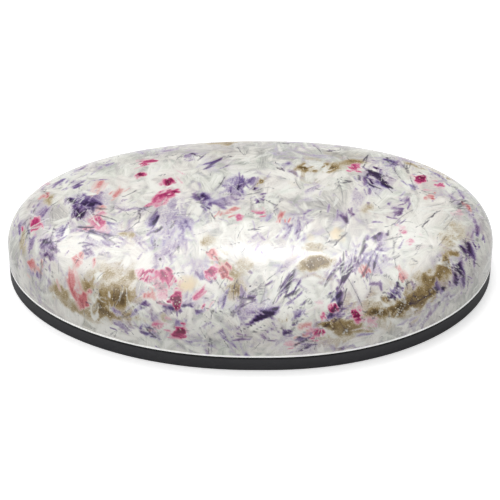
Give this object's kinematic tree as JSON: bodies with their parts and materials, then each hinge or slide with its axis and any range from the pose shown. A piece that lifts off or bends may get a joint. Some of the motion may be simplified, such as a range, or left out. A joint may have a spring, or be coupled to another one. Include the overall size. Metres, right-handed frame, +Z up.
{
  "type": "oval cabochon",
  "caption": "Elongated oval cabochon: a polished, domed, mottled stone bonded to a flat dark backing plate, lying free on its flat face.",
  "frame": {"origin": "middle of the footprint, on the surface the backing plate rests on", "axes": "+X along the stone towards its blunter end, +Y across it, +Z up through the dome"},
  "size_m": [0.06, 0.032, 0.0121],
  "materials": {
    "mottled_stone": "polished",
    "clear_adhesive": "glossy",
    "black_backing": "satin"
  },
  "bodies": {
    "root": {"crown": "mottled_stone", "bond_layer": "clear_adhesive", "backing_plate": "black_backing"}
  },
  "joints": []
}
